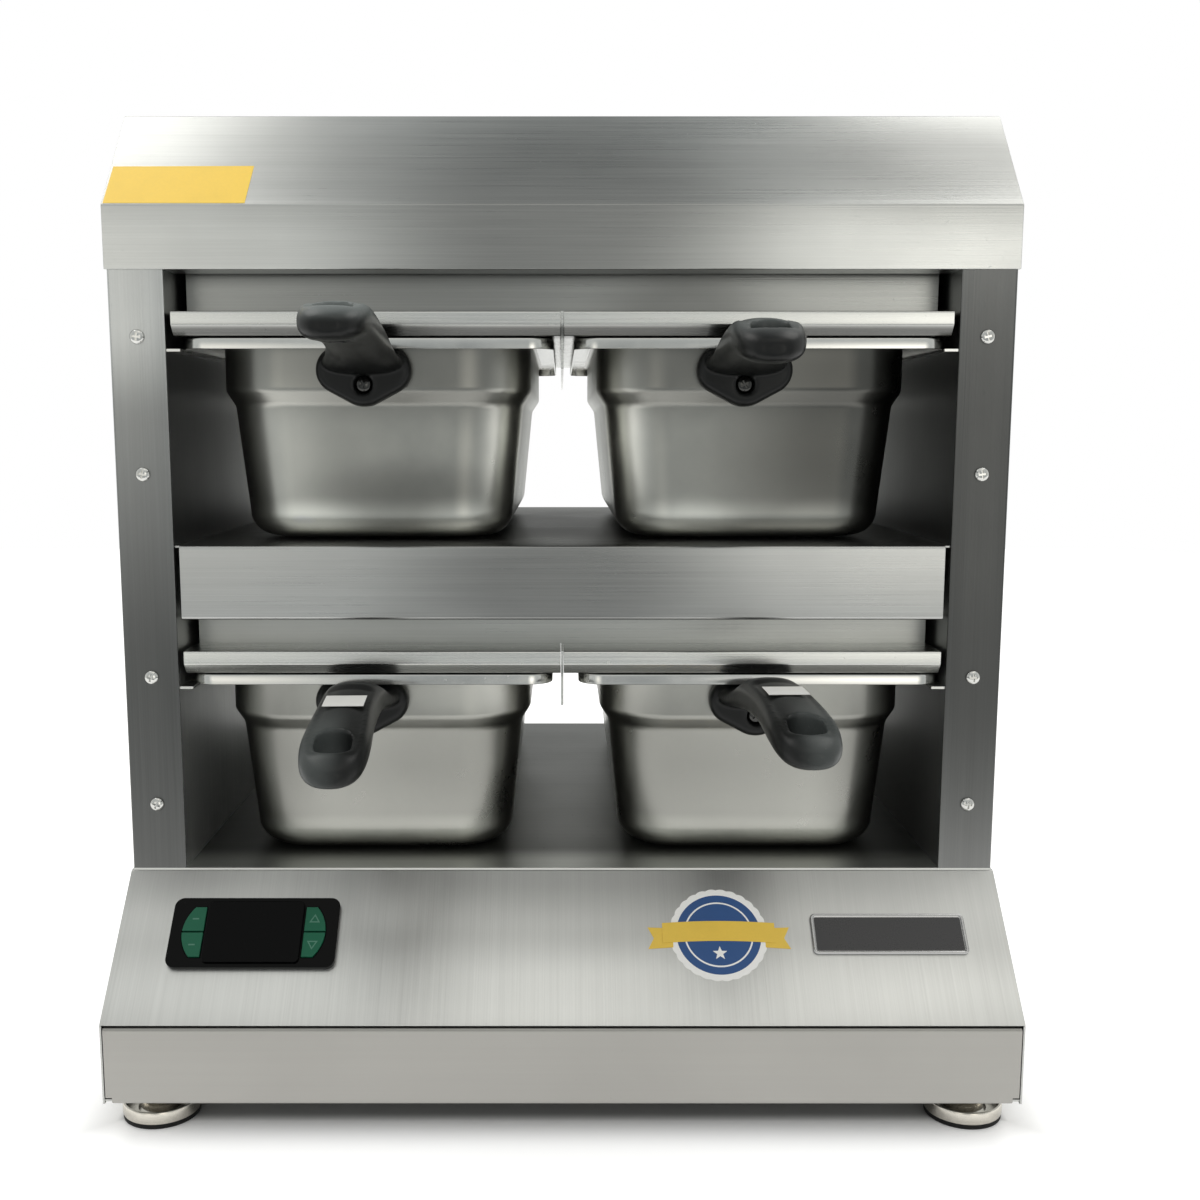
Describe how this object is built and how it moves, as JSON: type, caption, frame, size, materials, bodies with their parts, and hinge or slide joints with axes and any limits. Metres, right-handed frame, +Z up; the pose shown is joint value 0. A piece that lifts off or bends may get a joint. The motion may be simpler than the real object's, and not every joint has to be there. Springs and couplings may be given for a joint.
{
  "type": "heated holding cabinet",
  "caption": "Countertop heated holding cabinet, open front and rear, two decks of slide-in food pans with handles, sloped control panel and short feet.",
  "frame": {"origin": "on the worktop under the middle of the cabinet's outline, handles included", "axes": "+X to the user's right, +Y away from the user, +Z up"},
  "size_m": [0.427, 0.4604, 0.4805],
  "materials": {
    "brushed_stainless": "brushed, fine straight grain",
    "satin_stainless": "satin sheet",
    "pan_stainless": "satin pressed sheet",
    "bright_metal": "polished plate",
    "badge_metal": "satin, blank",
    "handle_plastic": "fine matte moulding",
    "black_plastic": "matte",
    "pale_plastic": "matte",
    "gloss_black": "polished",
    "key_plastic": "soft matte",
    "foot_rubber": "matte",
    "heater_mat": "matte",
    "insulation_wool": "fibrous"
  },
  "bodies": {
    "cabinet": {"badge_plate": "badge_metal", "base_bottom_plate": "brushed_stainless", "base_casing": "brushed_stainless", "base_rear_panel": "brushed_stainless", "ceiling_plate": "brushed_stainless", "controller_bezel": "gloss_black", "controller_body": "black_plastic", "controller_clips": "black_plastic", "controller_window": "gloss_black", "floor_heater": "heater_mat", "floor_insulation": "insulation_wool", "floor_plate": "brushed_stainless", "foot_bolts": "bright_metal", "foot_cups": "bright_metal", "foot_pads": "foot_rubber", "heater_relay": "black_plastic", "hot_plate_lower_left": "satin_stainless", "hot_plate_lower_right": "satin_stainless", "hot_plate_upper_left": "satin_stainless", "hot_plate_upper_right": "satin_stainless", "mid_deck_heater": "heater_mat", "mid_housing": "satin_stainless", "mid_insulation": "insulation_wool", "mid_shelf": "brushed_stainless", "pan_guides_lower": "satin_stainless", "pan_guides_upper": "satin_stainless", "plate_heaters_lower": "heater_mat", "plate_heaters_upper": "heater_mat", "post_screws": "bright_metal", "power_inlet": "black_plastic", "roof_cover": "brushed_stainless", "side_insulation": "insulation_wool", "side_liner_left": "brushed_stainless", "side_liner_right": "brushed_stainless", "side_panel_left": "brushed_stainless", "side_panel_right": "brushed_stainless", "temperature_probe": "satin_stainless", "terminal_block": "pale_plastic", "thermal_cutout": "pale_plastic", "top_housing": "satin_stainless", "top_insulation": "insulation_wool"},
    "pan_upper_left": {"pan_upper_left": "pan_stainless", "handle_upper_left": "handle_plastic", "handle_screw_upper_left": "bright_metal"},
    "pan_upper_right": {"pan_upper_right": "pan_stainless", "handle_upper_right": "handle_plastic", "handle_screw_upper_right": "bright_metal"},
    "pan_lower_left": {"pan_lower_left": "pan_stainless", "handle_lower_left": "handle_plastic", "handle_screw_lower_left": "bright_metal"},
    "pan_lower_right": {"pan_lower_right": "pan_stainless", "handle_lower_right": "handle_plastic", "handle_screw_lower_right": "bright_metal"},
    "key_left_upper": {"key_left_upper": "key_plastic"},
    "key_left_lower": {"key_left_lower": "key_plastic"},
    "key_right_upper": {"key_right_upper": "key_plastic"},
    "key_right_lower": {"key_right_lower": "key_plastic"}
  },
  "joints": [
    {"name": "slide_upper_left", "type": "slide", "parent": "cabinet", "child": "pan_upper_left", "axis": [0, -1, 0], "range_m": [0, 0.3]},
    {"name": "slide_upper_right", "type": "slide", "parent": "cabinet", "child": "pan_upper_right", "axis": [0, -1, 0], "range_m": [0, 0.3]},
    {"name": "slide_lower_left", "type": "slide", "parent": "cabinet", "child": "pan_lower_left", "axis": [0, -1, 0], "range_m": [0, 0.3]},
    {"name": "slide_lower_right", "type": "slide", "parent": "cabinet", "child": "pan_lower_right", "axis": [0, -1, 0], "range_m": [0, 0.3]},
    {"name": "press_key_left_upper", "type": "slide", "parent": "cabinet", "child": "key_left_upper", "axis": [0, 0.704, -0.7102], "range_m": [0, 0.0006], "stiffness_N_per_m": 1500},
    {"name": "press_key_left_lower", "type": "slide", "parent": "cabinet", "child": "key_left_lower", "axis": [0, 0.704, -0.7102], "range_m": [0, 0.0006], "stiffness_N_per_m": 1500},
    {"name": "press_key_right_upper", "type": "slide", "parent": "cabinet", "child": "key_right_upper", "axis": [0, 0.704, -0.7102], "range_m": [0, 0.0006], "stiffness_N_per_m": 1500},
    {"name": "press_key_right_lower", "type": "slide", "parent": "cabinet", "child": "key_right_lower", "axis": [0, 0.704, -0.7102], "range_m": [0, 0.0006], "stiffness_N_per_m": 1500}
  ]
}
